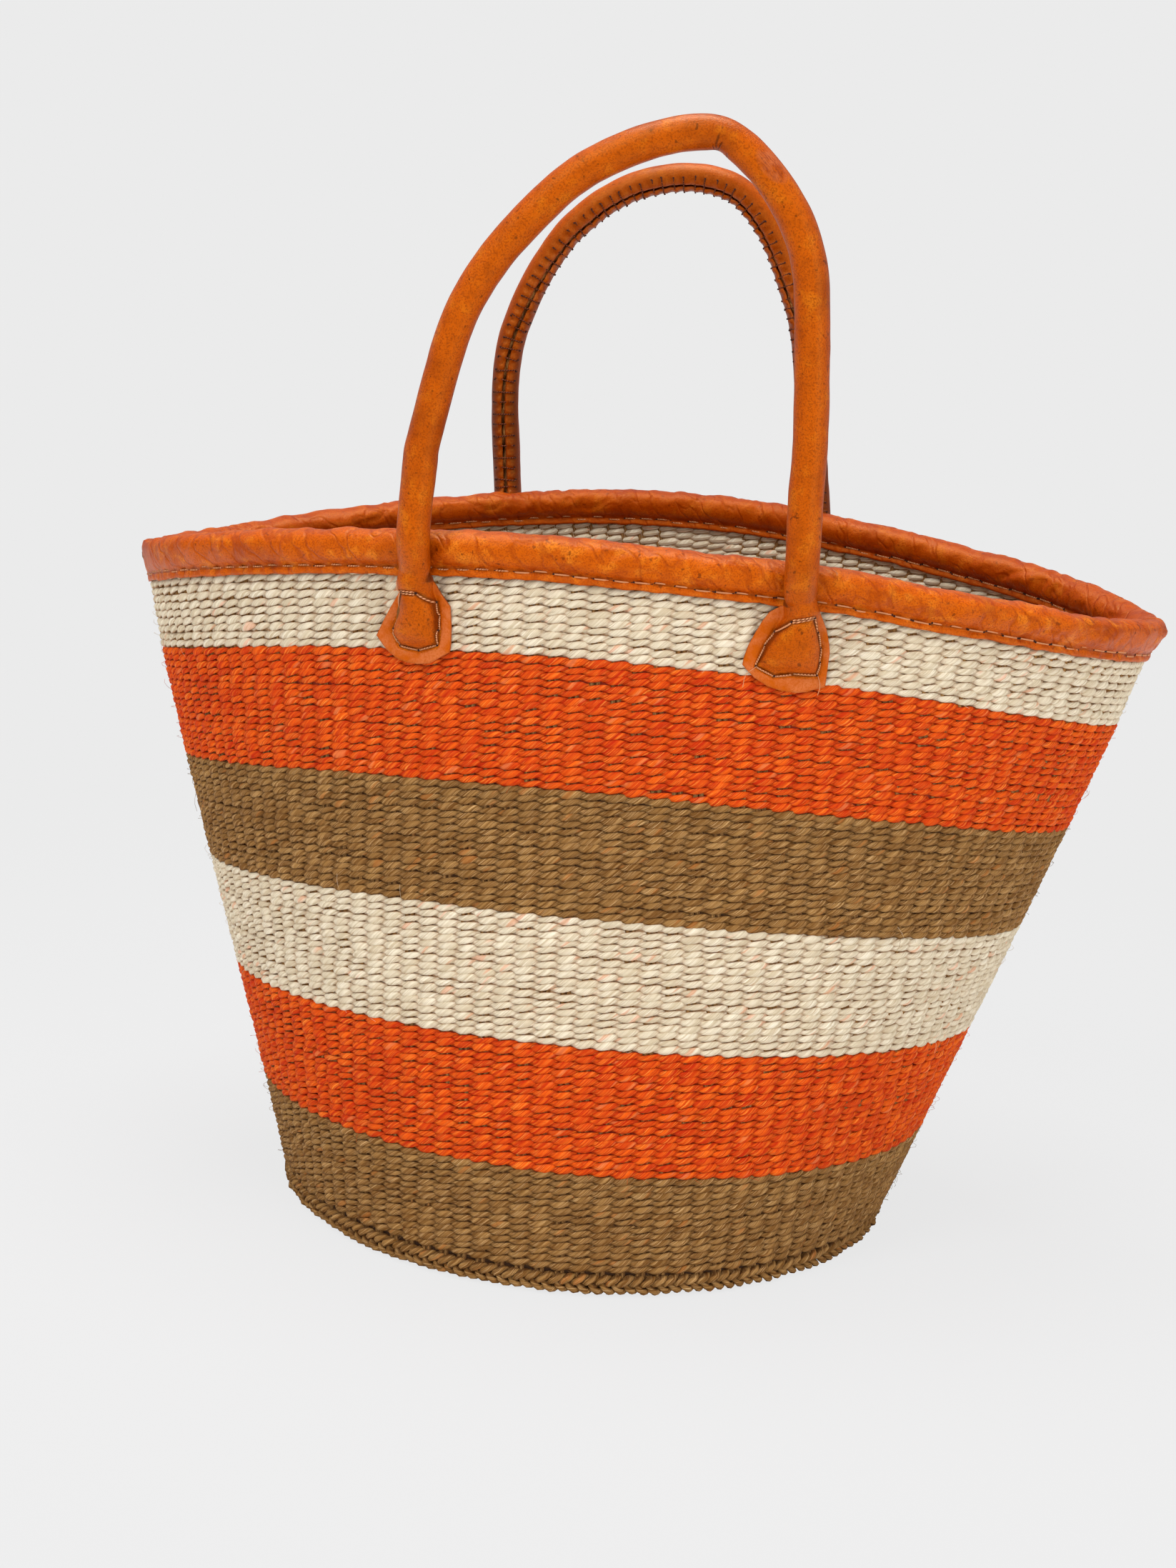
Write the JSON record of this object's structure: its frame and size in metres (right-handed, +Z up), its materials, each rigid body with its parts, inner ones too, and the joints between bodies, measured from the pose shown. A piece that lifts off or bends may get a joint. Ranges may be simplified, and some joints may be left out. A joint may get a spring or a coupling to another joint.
{
  "type": "kiondo basket",
  "caption": "Twined sisal kiondo basket with coloured bands, a folded leather rim and two roped leather handles that stand up or fold down outside.",
  "frame": {"origin": "on the floor under the middle of the mouth", "axes": "+Z up, +X along the mouth's long axis towards its blunter end, -Y towards the front handle"},
  "size_m": [0.4601, 0.2732, 0.458],
  "materials": {
    "cream_sisal": "matt twined sisal, undyed",
    "orange_sisal": "matt twined sisal, dyed orange",
    "brown_sisal": "matt twined sisal, dyed khaki brown",
    "core_rope": "sisal rope inside the handles",
    "waxed_thread": "waxed tan thread",
    "tan_leather": "glossy orange-tan leather"
  },
  "bodies": {
    "basket": {"base_disc": "brown_sisal", "base_braid": "brown_sisal", "brown_band_lower": "brown_sisal", "orange_band_lower": "orange_sisal", "cream_band_lower": "cream_sisal", "brown_band_upper": "brown_sisal", "orange_band_upper": "orange_sisal", "cream_band_upper": "cream_sisal", "turned_warp_ends": "cream_sisal", "rim_binding": "tan_leather", "rim_thread_outer": "waxed_thread", "rim_thread_inner": "waxed_thread", "front_left_flap": "tan_leather", "front_left_rope_end": "core_rope", "front_left_flap_thread": "waxed_thread", "front_right_flap": "tan_leather", "front_right_rope_end": "core_rope", "front_right_flap_thread": "waxed_thread", "back_left_flap": "tan_leather", "back_left_rope_end": "core_rope", "back_left_flap_thread": "waxed_thread", "back_right_flap": "tan_leather", "back_right_rope_end": "core_rope", "back_right_flap_thread": "waxed_thread"},
    "front_handle": {"front_handle_leather": "tan_leather", "front_handle_rope": "core_rope", "front_handle_lacing": "waxed_thread"},
    "back_handle": {"back_handle_leather": "tan_leather", "back_handle_rope": "core_rope", "back_handle_lacing": "waxed_thread"}
  },
  "joints": [
    {"name": "front_handle_swing", "type": "hinge", "parent": "basket", "child": "front_handle", "pos_m": [0, -0.122, 0.2761], "axis": [1, 0, 0], "range_deg": [0, 155]},
    {"name": "back_handle_swing", "type": "hinge", "parent": "basket", "child": "back_handle", "pos_m": [0, 0.122, 0.2761], "axis": [-1, 0, 0], "range_deg": [0, 155]}
  ]
}
